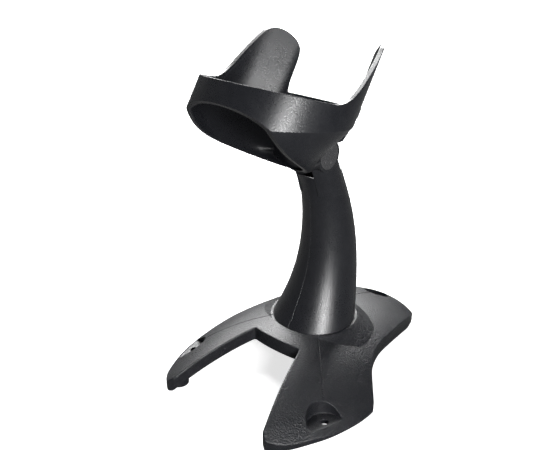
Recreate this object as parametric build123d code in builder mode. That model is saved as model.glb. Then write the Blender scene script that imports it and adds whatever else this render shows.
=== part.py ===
"""Hands-free stand for a handheld barcode scanner.

An arched three-lobed foot carries a curved hollow column.  A cup-shaped cradle
with two upright wings tilts on a friction hinge between two ears at the column top.

Frame: millimetres, +Z up.  The parts are drawn with the column foot centred on the
z axis, and are written out moved back so that the origin lies on the table under the
middle of the footprint.  The open notch between the two front lobes faces -Y and +X is to the
right of somebody standing behind the stand and looking through the cradle.
The stand is mirror symmetric about the plane x = 0.
"""
from build123d import *
from math import atan2, cos, degrees, radians, sin, sqrt
import os

os.makedirs("parts", exist_ok=True)

# ---------------------------------------------------------------- base: the arch
CENTRE_SHIFT = 3.4          # the column foot stands this far behind the middle of the footprint
GROUND_GAP = 0.4            # skirt stands this far above the table, on rubber feet
ARCH_TOP = 29.5             # highest point of the arched top surface
ARCH_EDGE = 7.0             # height of the top surface at the lobe ends
ARCH_MID_Y = -15.2          # the arch crest lies forward of the column
ARCH_HALF_X = 58.4          # half widths of the level line that meets the lobe ends
ARCH_HALF_Y = 94.5
ARCH_CENTRE_Z = -60.0       # centre of the ellipsoid that forms the arch
ARCH_CAP_FROM = 34.0        # only the cap of the ellipsoid above this latitude is used
SHELL_WALL = 2.6            # moulded wall of the foot shell
SKIRT = 8.3                 # depth of the edge skirt measured down from the top
EDGE_ROUND = 0.8
OUTLINE_STEPS = 10          # points that carry each curve of an inset plan

# ---------------------------------------------------------------- base: the plan
NOTCH_RADIUS = 37.5         # arc of the notch, concentric with the column foot
NOTCH_CORNER = (17.0, -34.6)
PLAN_ROUND = 1.5            # corners of the plan
INNER_EDGE = [NOTCH_CORNER, (21.2, -47.0), (25.4, -60.0), (30.2, -74.0), (34.2, -85.2)]
LOBE_TIP = (37.6, -87.6)
FRONT_END = [LOBE_TIP, (46.2, -80.3), (52.0, -70.0), (57.0, -59.0), (60.5, -47.0), (62.5, -35.0),
             (62.6, -24.5)]
SIDE_HOLLOW = [(60.8, -21.3), (54.5, -14.0), (48.0, -5.5), (43.6, 3.0), (40.6, 13.0), (38.4, 26.0),
               (35.8, 41.0), (32.8, 55.0), (29.2, 69.0)]
REAR_END = [(27.0, 73.8), (20.0, 77.6), (10.0, 79.8), (0.0, 80.5)]

# ---------------------------------------------------------------- base: details
SCREW_HOLE_R = 2.2
FRONT_HOLE = (51.0, -54.0)
REAR_HOLE = (0.0, 69.8)
# round pockets that leave a level seat for a screw head: x, y, radius
FRONT_SCOOP = (53.5, -56.2, 10.8)
REAR_SCOOP = (0.0, 69.8, 8.2)
SCOOP_FLOOR_Z = 5.4
SCOOP_WALL = 2.2
SCREW_BOSS_LOW_Z = 2.6
CREASE_WIDTH = 0.5
CREASE_DEPTH = 0.4
RIB_THICK = 1.6
RIB_FROM = 20.0             # the ribs run from here out to the screw holes, a pair to each
RIB_ASIDE = 9.4
PAD_R = 4.6
PAD_THICK = 2.0
PAD_SPOTS = [(39.0, -77.5), (53.8, -35.5), (18.0, 69.0)]
PAD_BOSS_R = 5.8
SEAT_R = 26.4               # raised seat that blends into the arch behind the column
SEAT_BLEND_R = 36.8
SEAT_BLEND_Z = 21.0
SEAT_Z = 28.2
SEAT_POCKET_R = 25.5
HUB_THICK = 4.0
HUB_HOLE_R = 9.0
FOOT_SCREW_RING = 15.0
FOOT_SCREW_COUNT = 4
FOOT_SCREW_R = 1.9
FOOT_SCREW_LENGTH = 16.0
FOOT_HEAD_R = 3.8
FOOT_HEAD_HIGH = 2.6
PLATE_R = 25.0
PLATE_THICK = 4.0

# ---------------------------------------------------------------- column
FOOT_Z = SEAT_Z
# oval sections up the column: height, y of the centre, half width, half depth
COLUMN_STATIONS = [(28.2, 0.0, 25.0, 25.0), (38.0, 4.6, 22.2, 23.2), (48.5, 8.4, 19.9, 21.2),
                   (73.5, 12.0, 16.4, 17.5), (98.5, 9.1, 13.9, 14.9), (123.2, -0.2, 12.7, 13.6)]
COLUMN_TOP_Z = 123.2
COLUMN_WALL = 2.3
SEAM_GAP = 0.08             # half of the parting gap between the two shells
FLANGE_THICK = 3.0
FOOT_BOSS_R = 4.0
FOOT_BOSS_TOP = 41.0
COVER_HALF = 11.4           # half width of the rear cover
COVER_THICK = 1.3
COVER_LOW_Z = 36.0
COVER_HIGH_Z = 121.0
COVER_GAP = 0.2
JOIN_HEIGHTS = [58.0, 84.0, 108.0]
JOIN_X = 3.4                # the joining screws stand beside the seam
JOIN_SCREW_R = 1.5
JOIN_HEAD_R = 2.7
JOIN_HEAD_HIGH = 1.8
JOIN_SEAT_DEPTH = 5.0       # head seat below the rear skin
JOIN_PAD_DEPTH = 6.6
JOIN_PAD_R = 3.8
JOIN_LUG_DEPTH = 13.0
JOIN_LUG_HALF = 7.2

# ---------------------------------------------------------------- hinge
HINGE_Y = -7.0
HINGE_Z = 135.0
EAR_R = 9.0
EAR_IN = 6.2
EAR_OUT = 12.9
EAR_ARM_BACK = 8.6          # rear face of the arm that carries the ear, behind the axis
EAR_POCKET_R = 7.6
EAR_POCKET_X = 8.4
SADDLE_R = 14.2             # room the cradle neck needs round the hinge axis
BOLT_R = 2.5
BOLT_FIT = 0.1
HEAD_R = 4.25
HEAD_HIGH = 2.8
NUT_FLATS = 8.0
NUT_HIGH = 2.3
THRUST_THICK = 0.8
THRUST_R = 6.2
SPRING_THICK = 0.6
SLEEVE_R = 3.5
BUSH_R = 5.0
BUSH_INNER_X = 0.4
RUN_GAP = 0.05              # radial running clearance in the hinge
KNUCKLE_R = 8.6
NECK_HALF = 5.2
FRICTION_R = 8.2
CAP_R = 7.5
CAP_FACE = 0.9
CAP_PROUD = 0.2
CAP_SKIRT = 0.8
CAP_HOLES = 5
CAP_HOLE_DEEP = 0.7
CAP_DISH_R = 75.0
CAP_DISH = 0.3
CAP_HOLE_R = 0.8
CAP_HOLE_RING = 4.4

# ---------------------------------------------------------------- cradle
CUP_LEAN = 34.0             # lean of the cup axis from the vertical, top to the rear
CUP_HALF_X = 42.0
CUP_WALL = 2.4
CUP_STEPS = 5               # points that carry half a cup section
RIM_MID_Y = -32.0
RIM_MID_Z = 173.0
RIM_LEAN = 18.4             # slope of the rim, high at the front
STRAIGHT_DROP = 12.0        # the straight wall ends this far below the rim middle
STRAIGHT_TILT = 8.7
CUP_DEPTH = 44.6            # half of the front-to-back size along the end of the straight wall
WING_REACH = 64.0
WING_ROOT_Y = -42.0
WING_BACK_Y = 0.5
PROW = 0.05                  # the front of the cup comes to a soft upright ridge
EAR_CLEAR = 0.6             # gap between an ear and the cup wrapped round it
# upper outline in side view: rim, front edge of the wing, rounded top, rear edge
WING_OUTLINE = [(-30.0, 176.9), (-19.9, 182.6), (-10.4, 188.9), (-4.5, 192.8), (-0.5, 195.0),
                (4.0, 195.6), (8.2, 193.2), (11.0, 188.5), (11.6, 184.6), (9.8, 179.5),
                (6.3, 173.6), (2.6, 167.8)]
# lower outline in side view: bottom edge of the front band, then the side of the funnel
MOUTH_OUTLINE = [(-78.3, 177.2), (-75.2, 173.9), (-72.6, 169.6), (-69.0, 163.2), (-62.6, 155.0),
                 (-52.0, 146.4), (-38.0, 137.6), (-26.0, 130.6), (-18.0, 126.4)]
# cup sections below the straight part: front y, rear y, height at the rear, widest y, half width
BELLY = (-80.0, -1.0, 145.5, -48.0, 34.5)
BELLY_RISE = 0.157          # slope of the belly section, high at the front
NECK_MID = (-10.5, 133.5)
NECK_TURN = 51.0            # the neck section faces up and forward
NECK_HALF_X = 12.4
NECK_HALF_Y = 10.5
THROAT_R = 15.5             # the throat of the cup is solid this far round the hinge axis
LINE_DEPTH = 0.5
LINE_WIDTH = 0.6
WING_LINE = [(-44.0, 168.0), (-33.0, 173.0), (-23.0, 178.4), (-13.0, 184.8)]
MAGNET_NEAR = 9.8
MAGNET_R = 4.0
MAGNET_THICK = 3.0
RETAINER_R = 5.2
RETAINER_THICK = 1.2


def arch_solid(lowered):
    """The region below the arched surface, lowered by the given amount."""
    full = ARCH_TOP - ARCH_CENTRE_Z
    edge = (ARCH_EDGE - ARCH_CENTRE_Z) / full
    spread = 1 / sqrt(1 - edge ** 2)
    with BuildPart() as dome:
        Sphere(1.0, arc_size1=ARCH_CAP_FROM, align=(Align.CENTER, Align.CENTER, Align.MIN))
        scale(by=(ARCH_HALF_X * spread, ARCH_HALF_Y * spread, full))
    base_z = ARCH_CENTRE_Z + full * sin(radians(ARCH_CAP_FROM))
    return Pos(0, ARCH_MID_Y, base_z - lowered) * dome.part


def mirrored(points):
    """The same points on the other side of x = 0, in reverse order."""
    return [(-x, y) for x, y in reversed(points)]


def foot_outline(inset):
    """Plan of the three-lobed foot, moved inward by the given wall."""
    right_side = [INNER_EDGE, FRONT_END, SIDE_HOLLOW]
    with BuildSketch() as plan:
        with BuildLine():
            ThreePointArc((-NOTCH_CORNER[0], NOTCH_CORNER[1]), (0.0, -NOTCH_RADIUS), NOTCH_CORNER)
            for curve, following in zip(right_side, [FRONT_END, SIDE_HOLLOW, REAR_END]):
                Spline(*curve)
                if curve[-1] != following[0]:
                    Line(curve[-1], following[0])
            Spline(*REAR_END, *mirrored(REAR_END[:-1]))
            for curve, following in zip(right_side, [FRONT_END, SIDE_HOLLOW, REAR_END]):
                Spline(*mirrored(curve))
                if curve[-1] != following[0]:
                    Line((-curve[-1][0], curve[-1][1]), (-following[0][0], following[0][1]))
        make_face()
        if not inset:
            fillet(plan.vertices(), PLAN_ROUND)
    if not inset:
        return plan.sketch
    moved = offset(plan.sketch, amount=-inset, kind=Kind.ARC, mode=Mode.PRIVATE)
    with BuildSketch() as inner:
        with BuildLine():
            for edge in moved.face().outer_wire().edges():
                if edge.geom_type == GeomType.LINE:
                    Line(edge @ 0, edge @ 1)
                else:
                    Spline(*[edge @ (step / OUTLINE_STEPS) for step in range(OUTLINE_STEPS + 1)])
        make_face()
    return inner.sketch


def column_centre(z):
    """Centre and half depth of the column section at a height, between the stations."""
    low = max(i for i, s in enumerate(COLUMN_STATIONS[:-1]) if s[0] <= z)
    below, above = COLUMN_STATIONS[low], COLUMN_STATIONS[low + 1]
    t = (z - below[0]) / (above[0] - below[0])
    return below[1] + t * (above[1] - below[1]), below[3] + t * (above[3] - below[3])


def column_solid(wall):
    """Solid inside the column skin, all round thinner than the skin by the wall."""
    with BuildPart() as solid:
        for z, y, half, depth in COLUMN_STATIONS:
            with BuildSketch(Plane.XY.offset(z)):
                with Locations((0, y)):
                    Ellipse(half - wall, depth - wall)
        loft()
    return solid.part


def hinge_rod(radius, x_from, x_to):
    """Cylinder on the hinge axis between two x positions."""
    with BuildPart() as rod:
        with BuildSketch(Plane.YZ.offset(x_from)):
            with Locations((HINGE_Y, HINGE_Z)):
                Circle(radius)
        extrude(amount=x_to - x_from)
    return rod.part


def side_prism(points, half_width, smooth=False):
    """Prism across the stand whose outline is given in side view as (y, z) points."""
    with BuildPart() as prism:
        with BuildSketch(Plane.YZ):
            with BuildLine():
                if smooth:
                    Spline(*points)
                    Line(points[-1], points[0])
                else:
                    Polyline(*points, close=True)
            make_face()
        extrude(amount=half_width, both=True)
    return prism.part


def cup_section(plane, front, rear, widest, half, prow):
    """Right half of an egg-shaped cup section with a soft ridge at the front."""
    right_side = []
    for step in range(CUP_STEPS + 1):
        turn = radians(180 * step / CUP_STEPS - 90)
        reach = widest - front if turn < 0 else rear - widest
        right_side.append((half * cos(turn), widest + reach * sin(turn)))
    with BuildSketch(plane) as section:
        with BuildLine():
            Spline(*right_side, tangents=[(1.0, prow), (-1.0, 0.0)])
            Line((0, rear), (0, front))
        make_face()
    return section.sketch


# ================================================================ foot shell
lobe_holes = [FRONT_HOLE, (-FRONT_HOLE[0], FRONT_HOLE[1]), REAR_HOLE]
scoops = [FRONT_SCOOP, (-FRONT_SCOOP[0], FRONT_SCOOP[1], FRONT_SCOOP[2]), REAR_SCOOP]
pad_spots = PAD_SPOTS + [(-x, y) for x, y in PAD_SPOTS]
foot_screw_ring = PolarLocations(FOOT_SCREW_RING, FOOT_SCREW_COUNT, start_angle=45)
HUB_Z = SEAT_Z - HUB_THICK
inside_arch = arch_solid(SHELL_WALL / 2)

with BuildPart() as foot_cavity:
    with BuildSketch():
        add(foot_outline(SHELL_WALL))
    extrude(amount=ARCH_TOP)
    add(arch_solid(SHELL_WALL), mode=Mode.INTERSECT)

with BuildPart() as foot_underside:
    with BuildSketch():
        add(foot_outline(-SHELL_WALL))
    extrude(amount=ARCH_TOP)
    add(arch_solid(SKIRT), mode=Mode.INTERSECT)

with BuildPart() as foot_ribs:
    with BuildSketch():
        for x, y in lobe_holes:
            turn = degrees(atan2(y, x))
            reach = sqrt(x * x + y * y)
            for side in (-1, 1):
                with Locations(Rot(0, 0, turn) * Pos((RIB_FROM + reach) / 2, side * RIB_ASIDE)):
                    Rectangle(reach - RIB_FROM, RIB_THICK)
        add(foot_outline(SHELL_WALL / 2), mode=Mode.INTERSECT)
    extrude(amount=ARCH_TOP)
    add(inside_arch, mode=Mode.INTERSECT)

with BuildPart() as foot_bosses:
    with BuildSketch(Plane.XY.offset(SCREW_BOSS_LOW_Z)):
        for x, y, radius in scoops:
            with Locations((x, y)):
                Circle(radius + SCOOP_WALL)
        add(foot_outline(SHELL_WALL / 2), mode=Mode.INTERSECT)
    extrude(amount=ARCH_TOP)
    with BuildSketch(Plane.XY.offset(GROUND_GAP)):
        with Locations(pad_spots):
            Circle(PAD_BOSS_R)
        add(foot_outline(SHELL_WALL / 2), mode=Mode.INTERSECT)
    extrude(amount=ARCH_TOP)
    add(inside_arch, mode=Mode.INTERSECT)

with BuildPart() as creases:
    for x, y in lobe_holes:
        turn = degrees(atan2(y, x))
        reach = sqrt(x * x + y * y)
        with BuildSketch(Plane.XY.offset(SCOOP_FLOOR_Z)):
            with Locations(Rot(0, 0, turn) * Pos(reach / 2, 0)):
                Rectangle(reach, CREASE_WIDTH)
        extrude(amount=ARCH_TOP)
    add(arch_solid(CREASE_DEPTH), mode=Mode.SUBTRACT)

with BuildPart() as base_shell:
    with BuildSketch(Plane.XY.offset(GROUND_GAP)):
        add(foot_outline(0))
    extrude(amount=ARCH_TOP)
    add(arch_solid(0), mode=Mode.INTERSECT)
    fillet(base_shell.faces().sort_by(Axis.Z)[-1].edges(), EDGE_ROUND)
    add(foot_cavity.part, mode=Mode.SUBTRACT)
    add(foot_ribs.part)
    add(foot_underside.part, mode=Mode.SUBTRACT)
    add(foot_bosses.part)
    # seat for the column: a shallow cone behind, a shallow pocket in front
    with BuildSketch(Plane.XY.offset(SEAT_BLEND_Z)):
        Circle(SEAT_BLEND_R)
    with BuildSketch(Plane.XY.offset(SEAT_Z)):
        Circle(SEAT_R)
    loft()
    with BuildSketch(Plane.XY.offset(HUB_Z)):
        Circle(PLATE_R + 1)
    extrude(amount=-2 * HUB_THICK, mode=Mode.SUBTRACT)
    with BuildSketch(Plane.XY.offset(SEAT_Z)):
        Circle(SEAT_POCKET_R)
    extrude(amount=HUB_THICK, mode=Mode.SUBTRACT)
    with BuildSketch(Plane.XY.offset(HUB_Z)):
        Circle(HUB_HOLE_R)
        with foot_screw_ring:
            Circle(SCREW_HOLE_R)
    extrude(amount=2 * HUB_THICK, mode=Mode.SUBTRACT)
    # level seats and holes for the table screws
    with BuildSketch(Plane.XY.offset(SCOOP_FLOOR_Z)):
        for x, y, radius in scoops:
            with Locations((x, y)):
                Circle(radius)
    extrude(amount=ARCH_TOP, mode=Mode.SUBTRACT)
    with BuildSketch():
        with Locations(lobe_holes):
            Circle(SCREW_HOLE_R)
    extrude(amount=ARCH_TOP, mode=Mode.SUBTRACT)
    with BuildSketch():
        with Locations(pad_spots):
            Circle(PAD_R + 0.1)
    extrude(amount=PAD_THICK, mode=Mode.SUBTRACT)
    add(creases.part, mode=Mode.SUBTRACT)
base_shell.part.label = "base_shell"

with BuildPart() as foot_pads:
    with BuildSketch():
        with Locations(pad_spots):
            Circle(PAD_R)
    extrude(amount=PAD_THICK)
    chamfer(foot_pads.edges().group_by(Axis.Z)[0], 0.4)
foot_pads.part.label = "foot_pads"

with BuildPart() as clamp_plate:
    with BuildSketch(Plane.XY.offset(HUB_Z)):
        Circle(PLATE_R)
        Circle(HUB_HOLE_R, mode=Mode.SUBTRACT)
        with foot_screw_ring:
            Circle(SCREW_HOLE_R, mode=Mode.SUBTRACT)
    extrude(amount=-PLATE_THICK)
    chamfer(clamp_plate.edges().filter_by(GeomType.CIRCLE).sort_by(SortBy.LENGTH)[-2:], 0.5)
clamp_plate.part.label = "clamp_plate"

PLATE_UNDER_Z = HUB_Z - PLATE_THICK
with BuildPart() as foot_screws:
    with BuildSketch(Plane.XY.offset(PLATE_UNDER_Z)):
        with foot_screw_ring:
            Circle(FOOT_SCREW_R)
    extrude(amount=FOOT_SCREW_LENGTH)
    with BuildSketch(Plane.XY.offset(PLATE_UNDER_Z)):
        with foot_screw_ring:
            Circle(FOOT_HEAD_R)
    extrude(amount=-FOOT_HEAD_HIGH)
    fillet(foot_screws.edges().group_by(Axis.Z)[0], 1.0)
    with BuildSketch(Plane.XY.offset(PLATE_UNDER_Z - FOOT_HEAD_HIGH)):
        with foot_screw_ring:
            Rectangle(3.6, 0.8)
            Rectangle(0.8, 3.6)
    extrude(amount=1.4, mode=Mode.SUBTRACT)
foot_screws.part.label = "foot_screws"

# ================================================================ column
skin = column_solid(0)
core = column_solid(COLUMN_WALL)
cover_core = column_solid(COVER_THICK)

with BuildPart() as column_feet:
    with BuildSketch(Plane.XY.offset(FOOT_Z)):
        Circle(COLUMN_STATIONS[0][2] + 2 * FLANGE_THICK)
    extrude(amount=FLANGE_THICK)
    with BuildSketch(Plane.XY.offset(FOOT_Z)):
        with foot_screw_ring:
            Circle(FOOT_BOSS_R)
    extrude(amount=FOOT_BOSS_TOP - FOOT_Z)
    add(skin, mode=Mode.INTERSECT)

with BuildPart() as column_tube:
    add(skin)
    add(core, mode=Mode.SUBTRACT)
    add(column_feet.part)
    with BuildSketch(Plane.XY.offset(FOOT_Z)):
        with foot_screw_ring:
            Circle(FOOT_SCREW_R + RUN_GAP)
        Circle(HUB_HOLE_R)
    extrude(amount=FOOT_BOSS_TOP - FOOT_Z - 3, mode=Mode.SUBTRACT)

# ears on arms that continue the oval of the column upward
arm_foot_z = COLUMN_TOP_Z - 14
arm_side = [(HINGE_Y - 11, COLUMN_TOP_Z), (HINGE_Y - 6.5, COLUMN_TOP_Z + 2), (HINGE_Y - 5.5, HINGE_Z - 7),
            (HINGE_Y, HINGE_Z), (HINGE_Y + EAR_ARM_BACK, HINGE_Z - 3),
            (HINGE_Y + EAR_ARM_BACK + 3.4, HINGE_Z - 8), (HINGE_Y + EAR_ARM_BACK + 5, arm_foot_z),
            (HINGE_Y - 4, arm_foot_z)]
with BuildPart() as ears:
    for z, y, half, depth in COLUMN_STATIONS[-2:] + [(HINGE_Z + EAR_R, HINGE_Y - 4, 13.0, 13.9)]:
        with BuildSketch(Plane.XY.offset(z)):
            with Locations((0, y)):
                Ellipse(half, depth)
    loft()
    add(side_prism(arm_side, EAR_OUT), mode=Mode.INTERSECT)
    add(hinge_rod(EAR_R, -EAR_OUT, EAR_OUT))
    add(hinge_rod(SADDLE_R, -EAR_IN, EAR_IN), mode=Mode.SUBTRACT)
    with BuildSketch(Plane.XY.offset(arm_foot_z)):
        with Locations((0, HINGE_Y)):
            Rectangle(2 * EAR_IN, 80)
    extrude(amount=60, mode=Mode.SUBTRACT)

with BuildPart() as column_whole:
    add(column_tube.part)
    add(ears.part)
    add(hinge_rod(SADDLE_R, -EAR_IN, EAR_IN), mode=Mode.SUBTRACT)
    add(hinge_rod(BOLT_R + BOLT_FIT, -EAR_OUT, EAR_OUT), mode=Mode.SUBTRACT)
    add(hinge_rod(EAR_POCKET_R, EAR_POCKET_X, 2 * EAR_OUT), mode=Mode.SUBTRACT)
    add(hinge_rod(EAR_POCKET_R, -EAR_POCKET_X, -2 * EAR_OUT), mode=Mode.SUBTRACT)


def rear_zone(half, low, high):
    """The back of the column between two heights, as wide as the rear cover."""
    heights = [low] + [s[0] for s in COLUMN_STATIONS if low < s[0] < high] + [high]
    front = [(column_centre(z)[0] + 1, z) for z in heights]
    back = [(60, z) for z in (high, low)]
    return side_prism(front + back, half)


with BuildPart() as column_rear_cover:
    add(skin)
    add(cover_core, mode=Mode.SUBTRACT)
    add(rear_zone(COVER_HALF, COVER_LOW_Z, COVER_HIGH_Z), mode=Mode.INTERSECT)
column_rear_cover.part.label = "column_rear_cover"

with BuildPart() as cover_bed:
    add(skin)
    add(cover_core, mode=Mode.SUBTRACT)
    add(rear_zone(COVER_HALF + COVER_GAP, COVER_LOW_Z - COVER_GAP, COVER_HIGH_Z + COVER_GAP),
        mode=Mode.INTERSECT)


def rear_skin_y(z):
    """How far back the column skin reaches at a height."""
    y, depth = column_centre(z)
    return y + depth


def rear_rods(radius, shallow, deep):
    """Rods along Y at the joining screws, between two depths below the rear skin."""
    with BuildPart() as rods:
        for z in JOIN_HEIGHTS:
            with BuildSketch(Plane.XZ.offset(-rear_skin_y(z) + shallow)):
                with Locations((JOIN_X, z)):
                    Circle(radius)
            extrude(amount=deep - shallow)
    return rods.part


def rear_lugs(shallow, deep):
    """Blocks across the seam at the joining screws, between two depths."""
    with BuildPart() as lugs:
        for z in JOIN_HEIGHTS:
            with BuildSketch(Plane.XZ.offset(-rear_skin_y(z) + shallow)):
                with Locations((0, z)):
                    Rectangle(2 * JOIN_LUG_HALF, 2 * JOIN_PAD_R)
            extrude(amount=deep - shallow)
    return lugs.part


def half_space(side):
    """A large block that fills one side of the seam plane, short of it by the parting gap."""
    with BuildPart() as block:
        with BuildSketch(Plane.YZ.offset(side * SEAM_GAP)):
            Rectangle(400, 600)
        extrude(amount=side * 100)
    return block.part


with BuildPart() as column_half_right:
    add(column_whole.part)
    add(rear_rods(JOIN_PAD_R, 0.2, JOIN_PAD_DEPTH) & skin)
    add(half_space(1), mode=Mode.INTERSECT)
    add(cover_bed.part, mode=Mode.SUBTRACT)
    add(rear_rods(JOIN_SCREW_R + 0.15, 0, JOIN_PAD_DEPTH), mode=Mode.SUBTRACT)
    add(rear_rods(JOIN_HEAD_R + 0.2, 0, JOIN_SEAT_DEPTH), mode=Mode.SUBTRACT)
column_half_right.part.label = "column_half_right"

with BuildPart() as column_half_left:
    add(column_whole.part)
    add(rear_lugs(0.2, JOIN_LUG_DEPTH) & skin)
    add(half_space(-1), mode=Mode.INTERSECT)
    add(cover_bed.part, mode=Mode.SUBTRACT)
    add(rear_lugs(JOIN_PAD_DEPTH + 0.2, JOIN_LUG_DEPTH) & half_space(1) & core)
    with BuildSketch():
        Rectangle(0.6, 100)
    bridge = extrude(amount=COLUMN_TOP_Z, mode=Mode.PRIVATE)
    add(rear_lugs(JOIN_PAD_DEPTH + 0.2, JOIN_LUG_DEPTH) & bridge)
    add(rear_rods(JOIN_SCREW_R + RUN_GAP, 0, JOIN_LUG_DEPTH - 1.5), mode=Mode.SUBTRACT)
column_half_left.part.label = "column_half_left"

with BuildPart() as column_screws:
    add(rear_rods(JOIN_SCREW_R, JOIN_SEAT_DEPTH - 0.5, JOIN_LUG_DEPTH - 2.5))
    add(rear_rods(JOIN_HEAD_R, JOIN_SEAT_DEPTH - JOIN_HEAD_HIGH, JOIN_SEAT_DEPTH))
column_screws.part.label = "column_screws"

# ================================================================ hinge
PIN_SPAN = EAR_IN - RUN_GAP
THRUST_X = EAR_POCKET_X + THRUST_THICK
NUT_X = THRUST_X + SPRING_THICK

with BuildPart() as hinge_bolt:
    add(hinge_rod(BOLT_R, -(NUT_X + NUT_HIGH), THRUST_X))
    add(hinge_rod(HEAD_R, THRUST_X, THRUST_X + HEAD_HIGH))
    chamfer(hinge_bolt.faces().sort_by(Axis.X)[-1].edges(), 0.5)
    chamfer(hinge_bolt.faces().sort_by(Axis.X)[0].edges(), 0.4)
    with BuildSketch(Plane.YZ.offset(THRUST_X + HEAD_HIGH)):
        with Locations((HINGE_Y, HINGE_Z)):
            RegularPolygon(2.0, 6, major_radius=False)
    extrude(amount=-1.8, mode=Mode.SUBTRACT)
hinge_bolt.part.label = "hinge_bolt"

with BuildPart() as hinge_nut:
    with BuildSketch(Plane.YZ.offset(-NUT_X)):
        with Locations((HINGE_Y, HINGE_Z)):
            RegularPolygon(NUT_FLATS / 2, 6, major_radius=False)
            Circle(BOLT_R + RUN_GAP, mode=Mode.SUBTRACT)
    extrude(amount=-NUT_HIGH)
hinge_nut.part.label = "hinge_nut"

with BuildPart() as hinge_sleeve:
    add(hinge_rod(SLEEVE_R, -PIN_SPAN, PIN_SPAN))
    add(hinge_rod(BOLT_R + BOLT_FIT, -PIN_SPAN, PIN_SPAN), mode=Mode.SUBTRACT)
hinge_sleeve.part.label = "hinge_sleeve"

with BuildPart() as hinge_bushes:
    for side in (-1, 1):
        add(hinge_rod(BUSH_R, side * BUSH_INNER_X, side * NECK_HALF))
    add(hinge_rod(SLEEVE_R + RUN_GAP, -EAR_IN, EAR_IN), mode=Mode.SUBTRACT)
hinge_bushes.part.label = "hinge_bushes"

with BuildPart() as friction_washers:
    for side in (-1, 1):
        add(hinge_rod(FRICTION_R, side * (NECK_HALF + RUN_GAP), side * (EAR_IN - RUN_GAP)))
    add(hinge_rod(SLEEVE_R + RUN_GAP, -EAR_IN, EAR_IN), mode=Mode.SUBTRACT)
friction_washers.part.label = "friction_washers"

with BuildPart() as thrust_washers:
    for side in (-1, 1):
        add(hinge_rod(THRUST_R, side * EAR_POCKET_X, side * THRUST_X))
    add(hinge_rod(BOLT_R + BOLT_FIT, -EAR_OUT, EAR_OUT), mode=Mode.SUBTRACT)
thrust_washers.part.label = "thrust_washers"

with BuildPart() as disc_spring:
    with BuildSketch(Plane.XY.offset(HINGE_Z)):
        with BuildLine():
            wall_low = HINGE_Y + BOLT_R + 2 * BOLT_FIT
            wall_high = HINGE_Y + THRUST_R - 0.6
            Polyline((-THRUST_X, wall_high), (-THRUST_X - 0.3, wall_high), (-NUT_X, wall_low),
                     (-NUT_X + 0.3, wall_low), close=True)
        make_face()
    revolve(axis=Axis((0, HINGE_Y, HINGE_Z), (1, 0, 0)))
disc_spring.part.label = "disc_spring"


CAP_X = EAR_OUT + CAP_PROUD
CAP_BACK_X = CAP_X - CAP_FACE
with BuildPart() as hinge_cap_right:
    add(hinge_rod(CAP_R, EAR_POCKET_X + 0.2, CAP_X))
    add(hinge_rod(CAP_R - CAP_SKIRT, EAR_POCKET_X, CAP_BACK_X), mode=Mode.SUBTRACT)
    with Locations((CAP_X + CAP_DISH_R - CAP_DISH, HINGE_Y, HINGE_Z)):
        Sphere(CAP_DISH_R, mode=Mode.SUBTRACT)
    with BuildSketch(Plane.YZ.offset(CAP_X)):
        with Locations((HINGE_Y, HINGE_Z)):
            with PolarLocations(CAP_HOLE_RING, CAP_HOLES):
                Circle(CAP_HOLE_R)
    extrude(amount=-CAP_HOLE_DEEP, mode=Mode.SUBTRACT)
hinge_cap_right.part.label = "hinge_cap_right"

with BuildPart() as hinge_cap_left:
    mirror(hinge_cap_right.part, about=Plane.YZ)
hinge_cap_left.part.label = "hinge_cap_left"

# ================================================================ cradle
LEAN = Vector(0, sin(radians(CUP_LEAN)), cos(radians(CUP_LEAN)))


def facing(y, z, tilt):
    """Plane across the cup whose normal leans back by the tilt; local x is global x."""
    normal = (0, sin(radians(tilt)), cos(radians(tilt)))
    return Plane(origin=(0, y, z), x_dir=(1, 0, 0), z_dir=normal)


def cup_half(wall):
    """Right half of the cup: straight tube above, belly below, closing on the neck."""
    start_y = RIM_MID_Y - STRAIGHT_DROP * LEAN.Y
    start_z = RIM_MID_Z - STRAIGHT_DROP * LEAN.Z
    depth = CUP_DEPTH - wall
    mouth_plane = facing(start_y, start_z, STRAIGHT_TILT)
    mouth = cup_section(mouth_plane, -depth, depth, 0.0, CUP_HALF_X - wall, PROW)
    front_y, rear_y, rear_z, widest_y, half = BELLY
    belly_plane = facing(rear_y, rear_z, degrees(atan2(BELLY_RISE, 1)))
    belly = cup_section(belly_plane, front_y - rear_y + wall, -wall, widest_y - rear_y, half - wall, 0.0)
    neck_plane = facing(NECK_MID[0], NECK_MID[1], -NECK_TURN)
    neck = cup_section(neck_plane, wall - NECK_HALF_Y, NECK_HALF_Y - wall, 0.0, NECK_HALF_X - wall, 0.0)
    return extrude(mouth, WING_REACH, dir=LEAN) + loft([mouth, belly, neck])


def rim_z(y):
    """Height of the rim line in side view."""
    return RIM_MID_Z - (y - RIM_MID_Y) * sin(radians(RIM_LEAN)) / cos(radians(RIM_LEAN))


# everything above the rim and the wings, in side view
with BuildPart() as above_rim:
    with BuildSketch(Plane.YZ):
        with BuildLine():
            front_rim = (-120.0, rim_z(-120.0))
            root = (WING_ROOT_Y, rim_z(WING_ROOT_Y))
            back_root = (WING_BACK_Y, rim_z(WING_BACK_Y))
            Line(front_rim, root)
            Spline(root, *WING_OUTLINE, back_root,
                   tangents=[(1.0, -0.333), (-0.35, -1.0)])
            Line(back_root, (60.0, rim_z(60.0)))
            Line((60.0, rim_z(60.0)), (60.0, 260.0))
            Line((60.0, 260.0), (-120.0, 260.0))
            Line((-120.0, 260.0), front_rim)
        make_face()
    extrude(amount=80, both=True)

# everything in front of and below the lower edge, in side view
with BuildPart() as below_edge:
    with BuildSketch(Plane.YZ):
        with BuildLine():
            Spline(*MOUTH_OUTLINE)
            Polyline(MOUTH_OUTLINE[-1], (-18.0, 80.0), (-120.0, 80.0), (-120.0, 180.0), MOUTH_OUTLINE[0])
        make_face()
    extrude(amount=80, both=True)

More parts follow.
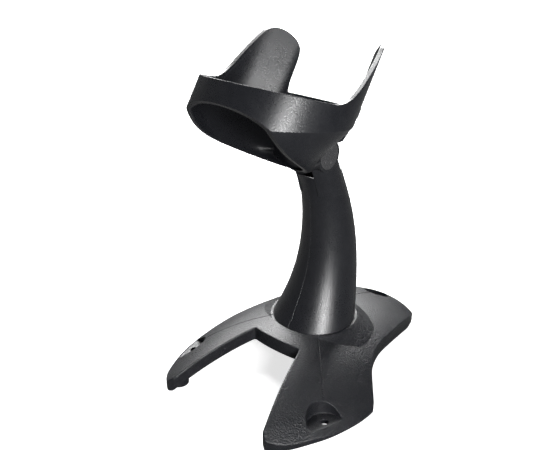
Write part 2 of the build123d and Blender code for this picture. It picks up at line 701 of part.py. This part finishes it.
cup_outer = cup_half(0)
cup_inner = cup_half(CUP_WALL)
cup_line = cup_half(CUP_WALL - LINE_DEPTH)
throat = Vector(0, -sin(radians(NECK_TURN)), cos(radians(NECK_TURN)))


def throat_rod(radius, near, far):
    """Cylinder up the throat of the cup, between two distances from the hinge axis."""
    base = Plane(origin=Vector(0, HINGE_Y, HINGE_Z) + throat * near, z_dir=throat)
    with BuildPart() as rod:
        with BuildSketch(base):
            Circle(radius)
        extrude(amount=far - near)
    return rod.part


# a fine line on the inner face of each wing, parallel to its front edge
line_side = WING_LINE + [(y, z + LINE_WIDTH) for y, z in reversed(WING_LINE)]
with BuildPart() as wing_line:
    add(side_prism(line_side, 80))
    add(cup_line, mode=Mode.INTERSECT)

with BuildPart() as cup_skin:
    add(cup_outer)
    add(cup_inner, mode=Mode.SUBTRACT)
    add(wing_line.part, mode=Mode.SUBTRACT)
    add(cup_outer & hinge_rod(THROAT_R, 0, 60))
    add(hinge_rod(EAR_R + EAR_CLEAR, NECK_HALF, 60), mode=Mode.SUBTRACT)
    add(above_rim.part, mode=Mode.SUBTRACT)
    add(below_edge.part, mode=Mode.SUBTRACT)

with BuildPart() as cradle_body:
    add(cup_skin.part)
    mirror(cup_skin.part, about=Plane.YZ)
    add(hinge_rod(KNUCKLE_R, -NECK_HALF, NECK_HALF))
    add(hinge_rod(SLEEVE_R + 0.3, -NECK_HALF, NECK_HALF), mode=Mode.SUBTRACT)
    for side in (-1, 1):
        add(hinge_rod(BUSH_R + 0.02, side * BUSH_INNER_X, side * NECK_HALF), mode=Mode.SUBTRACT)
    add(throat_rod(MAGNET_R + 0.05, MAGNET_NEAR, THROAT_R), mode=Mode.SUBTRACT)
    add(throat_rod(RETAINER_R + 0.05, MAGNET_NEAR + MAGNET_THICK, THROAT_R + 3), mode=Mode.SUBTRACT)
cradle_body.part.label = "cradle_body"

with BuildPart() as presence_magnet:
    add(throat_rod(MAGNET_R, MAGNET_NEAR, MAGNET_NEAR + MAGNET_THICK))
presence_magnet.part.label = "presence_magnet"

with BuildPart() as magnet_retainer:
    add(throat_rod(RETAINER_R, MAGNET_NEAR + MAGNET_THICK, MAGNET_NEAR + MAGNET_THICK + RETAINER_THICK))
    chamfer(magnet_retainer.edges().group_by(Axis.Z)[-1], 0.3)
magnet_retainer.part.label = "magnet_retainer"

# ================================================================ files
# everything moves as one, so that the origin lies under the middle of the footprint
pieces = [base_shell, foot_pads, clamp_plate, foot_screws, column_half_left, column_half_right,
          column_rear_cover, column_screws, hinge_bolt, hinge_nut, hinge_sleeve, hinge_bushes,
          friction_washers, thrust_washers, disc_spring, hinge_cap_left, hinge_cap_right,
          cradle_body, presence_magnet, magnet_retainer]
for piece in pieces:
    placed = piece.part.moved(Location((0, CENTRE_SHIFT, 0)))
    placed.label = piece.part.label
    export_step(placed, "parts/" + placed.label + ".step")
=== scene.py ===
"""Black hands-free stand for a handheld barcode scanner, in a pale studio."""
import math

import bpy
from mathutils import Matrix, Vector

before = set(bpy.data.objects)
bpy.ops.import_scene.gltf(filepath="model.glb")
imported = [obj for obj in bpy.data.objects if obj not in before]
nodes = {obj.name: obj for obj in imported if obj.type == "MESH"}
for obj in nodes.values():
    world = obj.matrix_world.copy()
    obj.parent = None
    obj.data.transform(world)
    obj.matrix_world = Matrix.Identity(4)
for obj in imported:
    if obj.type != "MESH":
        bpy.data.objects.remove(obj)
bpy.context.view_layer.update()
scene = bpy.context.scene


# ---------------------------------------------------------------- materials
class Shader:
    """A node material built up by short calls; every socket takes a value or another socket."""

    def __init__(self, name):
        self.material = bpy.data.materials.new(name)
        self.material.use_nodes = True
        self.tree = self.material.node_tree
        self.bsdf = self.tree.nodes["Principled BSDF"]
        self.place = self.node("ShaderNodeTexCoord").outputs["Object"]

    def node(self, kind, **settings):
        made = self.tree.nodes.new(kind)
        for key, value in settings.items():
            setattr(made, key, value)
        return made

    def plug(self, socket, value):
        if isinstance(value, bpy.types.NodeSocket):
            self.tree.links.new(value, socket)
        else:
            socket.default_value = value

    def noise(self, scale, detail=2.0, rough=0.5, stretch=None):
        """Noise from 0 to 1; scale is in repeats per metre."""
        place = self.place
        if stretch:
            mapping = self.node("ShaderNodeMapping")
            self.plug(mapping.inputs["Vector"], place)
            mapping.inputs["Scale"].default_value = stretch
            place = mapping.outputs["Vector"]
        made = self.node("ShaderNodeTexNoise")
        self.plug(made.inputs["Vector"], place)
        self.plug(made.inputs["Scale"], scale)
        self.plug(made.inputs["Detail"], detail)
        self.plug(made.inputs["Roughness"], rough)
        return made.outputs["Fac"]

    def cells(self, scale):
        """Distance to the nearest point of a cell pattern."""
        made = self.node("ShaderNodeTexVoronoi")
        self.plug(made.inputs["Vector"], self.place)
        self.plug(made.inputs["Scale"], scale)
        return made.outputs["Distance"]

    def span(self, value, low, high, to_low, to_high):
        """Maps low..high to to_low..to_high, clamped."""
        made = self.node("ShaderNodeMapRange")
        for socket, item in zip(("Value", "From Min", "From Max", "To Min", "To Max"),
                                (value, low, high, to_low, to_high)):
            self.plug(made.inputs[socket], item)
        return made.outputs["Result"]

    def maths(self, operation, a, b=0.0):
        made = self.node("ShaderNodeMath", operation=operation)
        self.plug(made.inputs[0], a)
        self.plug(made.inputs[1], b)
        return made.outputs[0]

    def mix(self, factor, a, b):
        made = self.node("ShaderNodeMix", data_type="RGBA")
        self.plug(made.inputs["Factor"], factor)
        self.plug(made.inputs["A"], a)
        self.plug(made.inputs["B"], b)
        return made.outputs["Result"]

    def rounded(self, radius):
        """Normal of the surface with its edges rounded off, and a mask that is 1 on those edges."""
        bevel = self.node("ShaderNodeBevel", samples=6)
        bevel.inputs["Radius"].default_value = radius
        plain = self.node("ShaderNodeNewGeometry")
        dot = self.node("ShaderNodeVectorMath", operation="DOT_PRODUCT")
        self.plug(dot.inputs[0], bevel.outputs["Normal"])
        self.plug(dot.inputs[1], plain.outputs["Normal"])
        mask = self.span(dot.outputs["Value"], 0.995, 0.80, 0.0, 1.0)
        return bevel.outputs["Normal"], mask

    def bump(self, height, distance, normal=None, strength=1.0):
        made = self.node("ShaderNodeBump")
        self.plug(made.inputs["Height"], height)
        self.plug(made.inputs["Distance"], distance)
        self.plug(made.inputs["Strength"], strength)
        if normal is not None:
            self.plug(made.inputs["Normal"], normal)
        return made.outputs["Normal"]

    def finish(self, color, roughness, normal, metallic=0.0, specular=0.5):
        for socket, value in (("Base Color", color), ("Roughness", roughness), ("Normal", normal),
                              ("Metallic", metallic), ("Specular IOR Level", specular)):
            self.plug(self.bsdf.inputs[socket], value)
        return self.material


def moulded_plastic(name, tone, rough, grain_depth, grain_scale=1500.0, edge=0.0006, specular=0.5):
    """Grained black ABS: spark-eroded texture, slight sheen changes, polished edges, and a painted
    highlight that makes the edges paler.
    """
    s = Shader(name)
    edge_normal, rounded_edge_mask = s.rounded(edge)
    grain = s.noise(grain_scale, 3.0, 0.6)
    waviness = s.noise(38.0, 2.0, 0.5)
    dust = s.noise(190.0, 4.0, 0.65)
    dark = (tone[0], tone[1], tone[2], 1.0)
    pale = (tone[0] * 2.0 + 0.02, tone[1] * 2.0 + 0.02, tone[2] * 2.0 + 0.02, 1.0)
    cloudy = s.mix(s.span(dust, 0.35, 0.75, 0.0, 0.12), dark, pale)
    # painted highlight: the rounded edges are painted paler, standing in for the light they catch; the
    # lower roughness there is a real polish
    color = s.mix(s.maths("MULTIPLY", rounded_edge_mask, 0.8), cloudy, pale)
    sheen = s.span(waviness, 0.3, 0.7, rough - 0.035, rough + 0.035)
    speck = s.span(grain, 0.35, 0.65, -0.05, 0.05)
    roughness = s.maths("SUBTRACT", s.maths("ADD", sheen, speck), s.maths("MULTIPLY", rounded_edge_mask, 0.09))
    normal = s.bump(waviness, 0.00012, s.bump(grain, grain_depth, edge_normal))
    return s.finish(color, roughness, normal, specular=specular)


def plated_metal(name, tone, rough, turned=900.0):
    """Plated or turned steel: fine tool marks, uneven sheen, slightly duller pits."""
    s = Shader(name)
    edge_normal, rounded_edge_mask = s.rounded(0.0002)
    marks = s.noise(turned, 2.0, 0.6, stretch=(0.15, 1.0, 1.0))
    stain = s.noise(260.0, 4.0, 0.6)
    light = (tone[0], tone[1], tone[2], 1.0)
    dull = (tone[0] * 0.72, tone[1] * 0.72, tone[2] * 0.70, 1.0)
    color = s.mix(s.span(stain, 0.4, 0.75, 0.0, 0.6), light, dull)
    roughness = s.maths("SUBTRACT", s.span(stain, 0.3, 0.8, rough, rough + 0.18),
                        s.maths("MULTIPLY", rounded_edge_mask, 0.08))
    normal = s.bump(marks, 0.00003, edge_normal)
    return s.finish(color, roughness, normal, metallic=1.0)


def soft_rubber(name, tone):
    """Moulded rubber with a fine pebble and a dusty bloom."""
    s = Shader(name)
    edge_normal = s.rounded(0.0004)[0]
    pebble = s.cells(2200.0)
    bloom = s.noise(320.0, 4.0, 0.7)
    color = s.mix(s.span(bloom, 0.4, 0.8, 0.0, 0.5), (tone, tone, tone, 1.0),
                  (tone * 2.2, tone * 2.2, tone * 2.1, 1.0))
    roughness = s.span(bloom, 0.3, 0.7, 0.68, 0.85)
    return s.finish(color, roughness, s.bump(pebble, 0.00006, edge_normal))


def pressed_fibre(name):
    """Friction disc: pressed fibres in a brown resin."""
    s = Shader(name)
    fibres = s.noise(1800.0, 5.0, 0.7, stretch=(1.0, 0.2, 1.0))
    color = s.mix(s.span(fibres, 0.35, 0.7, 0.0, 1.0), (0.11, 0.075, 0.05, 1.0), (0.30, 0.24, 0.17, 1.0))
    return s.finish(color, s.span(fibres, 0.3, 0.7, 0.6, 0.8), s.bump(fibres, 0.00005))


def acetal(name):
    """Natural acetal: milky, smooth, with faint flow marks."""
    s = Shader(name)
    edge_normal = s.rounded(0.0003)[0]
    flow = s.noise(420.0, 3.0, 0.5, stretch=(1.0, 0.4, 1.0))
    color = s.mix(s.span(flow, 0.3, 0.7, 0.0, 1.0), (0.80, 0.79, 0.74, 1.0), (0.70, 0.68, 0.62, 1.0))
    return s.finish(color, s.span(flow, 0.3, 0.7, 0.32, 0.42), s.bump(flow, 0.00002, edge_normal))


ABS_TONE = (0.008, 0.0085, 0.0105)
# CAP_TONE is lighter than ABS_TONE as painted light: it stands in for the light that the hinge caps' faces
# and rims catch
CAP_TONE = (0.035, 0.035, 0.037)
COVER_TONE = (0.018, 0.018, 0.02)
BASE_ROUGH = 0.33
COLUMN_ROUGH = 0.32
COVER_ROUGH = 0.42
CRADLE_ROUGH = 0.30
CAP_ROUGH = 0.26
BASE_GRAIN = 0.00045                # depth of the spark-eroded texture, metres
COLUMN_GRAIN = 0.00012
COVER_GRAIN = 0.00007
CRADLE_GRAIN = 0.00007
CAP_GRAIN = 0.00003
# wider rounded edge on the hinge caps, which widens their painted edge highlight
CAP_EDGE = 0.0005

finishes = {
    "base_shell": moulded_plastic("base_plastic", ABS_TONE, BASE_ROUGH, BASE_GRAIN, grain_scale=1100.0),
    "column_rear_cover": moulded_plastic("cover_plastic", COVER_TONE, COVER_ROUGH, COVER_GRAIN),
    "cradle_body": moulded_plastic("cradle_plastic", ABS_TONE, CRADLE_ROUGH, CRADLE_GRAIN),
    "foot_pads": soft_rubber("pad_rubber", 0.02),
    "friction_washers": pressed_fibre("friction_disc"),
}
for side in ("left", "right"):
    finishes["column_half_" + side] = moulded_plastic("column_plastic_" + side, ABS_TONE, COLUMN_ROUGH,
                                                      COLUMN_GRAIN)
    finishes["hinge_cap_" + side] = moulded_plastic("cap_plastic_" + side, CAP_TONE, CAP_ROUGH, CAP_GRAIN,
                                                    edge=CAP_EDGE)
zinc = plated_metal("plated_steel", (0.62, 0.63, 0.66), 0.28)
for name in ("clamp_plate", "foot_screws", "column_screws", "hinge_bolt", "hinge_nut", "hinge_sleeve",
             "thrust_washers"):
    finishes[name] = zinc
finishes["disc_spring"] = plated_metal("spring_steel", (0.33, 0.33, 0.35), 0.36)
finishes["presence_magnet"] = plated_metal("magnet_nickel", (0.72, 0.70, 0.66), 0.16, turned=300.0)
milky = acetal("bush_plastic")
for name in ("hinge_bushes", "magnet_retainer"):
    finishes[name] = milky

for name, node in nodes.items():
    node.data.materials.clear()
    node.data.materials.append(finishes[name])

# ---------------------------------------------------------------- floor and light
FLOOR_HALF = 6.0
PAPER_WHITE = (0.93, 0.93, 0.93, 1.0)
PAPER_DIM = (0.10, 0.10, 0.10, 1.0)
PAPER_GLOW = 0.72                   # keeps the paper pale to the camera where the lamps don't reach
floor_mesh = bpy.data.meshes.new("floor")
floor_mesh.from_pydata([(-FLOOR_HALF, -FLOOR_HALF, 0), (FLOOR_HALF, -FLOOR_HALF, 0),
                        (FLOOR_HALF, FLOOR_HALF, 0), (-FLOOR_HALF, FLOOR_HALF, 0)], [], [(0, 1, 2, 3)])
floor = bpy.data.objects.new("floor", floor_mesh)
scene.collection.objects.link(floor)
paper = Shader("floor_paper")
fibre = paper.noise(900.0, 3.0, 0.6)
seen_by = paper.node("ShaderNodeLightPath").outputs
# the paper is pale to the camera and dim to bounced light, so that the black stand keeps its contrast
paper_tone = paper.mix(seen_by["Is Camera Ray"], PAPER_DIM, PAPER_WHITE)
paper.plug(paper.bsdf.inputs["Emission Color"], (1.0, 1.0, 1.0, 1.0))
paper_glow = paper.maths("MULTIPLY", seen_by["Is Camera Ray"], PAPER_GLOW)
paper.plug(paper.bsdf.inputs["Emission Strength"], paper_glow)
floor_mesh.materials.append(paper.finish(paper_tone, 0.9, paper.bump(fibre, 0.00002), specular=0.0))

# dark room for reflections, a little lighter towards the horizon, and a white backdrop for the camera
HORIZON_HEIGHT, OVERHEAD_HEIGHT = 0.05, 0.70
HORIZON_LIGHT, OVERHEAD_LIGHT = 0.13, 0.05
world = bpy.data.worlds.new("studio")
world.use_nodes = True
scene.world = world
sky = world.node_tree
sky_place = sky.nodes.new("ShaderNodeTexCoord")
sky_split = sky.nodes.new("ShaderNodeSeparateXYZ")
sky.links.new(sky_place.outputs["Generated"], sky_split.inputs[0])
sky_ramp = sky.nodes.new("ShaderNodeMapRange")
sky.links.new(sky_split.outputs["Z"], sky_ramp.inputs["Value"])
for socket, level in (("From Min", HORIZON_HEIGHT), ("From Max", OVERHEAD_HEIGHT),
                      ("To Min", HORIZON_LIGHT), ("To Max", OVERHEAD_LIGHT)):
    sky_ramp.inputs[socket].default_value = level
sky_seen = sky.nodes.new("ShaderNodeLightPath")
sky_strength = sky.nodes.new("ShaderNodeMath")
sky_strength.operation = "MAXIMUM"
sky.links.new(sky_seen.outputs["Is Camera Ray"], sky_strength.inputs[0])
sky.links.new(sky_ramp.outputs["Result"], sky_strength.inputs[1])
sky.links.new(sky_strength.outputs[0], sky.nodes["Background"].inputs["Strength"])
sky.nodes["Background"].inputs["Color"].default_value = (0.97, 0.98, 1.0, 1.0)


LAMP_TARGET = Vector((0.0, 0.0, 0.09))


def softbox(name, azimuth, elevation, distance, size, power):
    """Area light aimed at the middle of the stand; azimuth 0 is in front (-Y) and 90 on the right (+X)."""
    a, e = math.radians(azimuth), math.radians(elevation)
    away = Vector((math.sin(a) * math.cos(e), -math.cos(a) * math.cos(e), math.sin(e)))
    data = bpy.data.lights.new(name, "AREA")
    data.shape = "RECTANGLE"
    data.size, data.size_y = size
    data.energy = power
    lamp = bpy.data.objects.new(name, data)
    lamp.location = LAMP_TARGET + away * distance
    lamp.rotation_mode = "QUATERNION"
    lamp.rotation_quaternion = (-away).to_track_quat("-Z", "Y")
    scene.collection.objects.link(lamp)


# name, azimuth, elevation, distance, width and height, watts
softbox("right_softbox", 60.0, 18.0, 0.95, (0.18, 0.34), 12.0)    # main highlight, on the cup and column
softbox("front_softbox", 50.0, 12.0, 1.10, (0.12, 0.50), 4.0)     # brightens the column
softbox("rear_softbox", -136.0, 32.0, 1.3, (1.3, 0.5), 44.0)      # sheen on the left and rear lobes
softbox("top_softbox", -100.0, 64.0, 0.9, (0.22, 0.22), 3.5)      # small lift on the left of the foot

# ---------------------------------------------------------------- camera
CAMERA_PLACE = (0.2394, -0.3078, 0.2727)
CAMERA_BACK = Vector((0.5991, -0.6772, 0.4274))    # from the subject towards the camera
CAMERA_LENS = 49.73                                # millimetres, on a 36 mm wide sensor
camera_data = bpy.data.cameras.new("camera")
camera_data.sensor_width = 36.0
camera_data.lens = CAMERA_LENS
camera = bpy.data.objects.new("camera", camera_data)
camera.location = CAMERA_PLACE
camera.rotation_mode = "QUATERNION"
camera.rotation_quaternion = (-CAMERA_BACK).to_track_quat("-Z", "Y")
camera_data.clip_start, camera_data.clip_end = 0.01, 50.0
scene.collection.objects.link(camera)
scene.camera = camera
scene.view_settings.view_transform = "Standard"
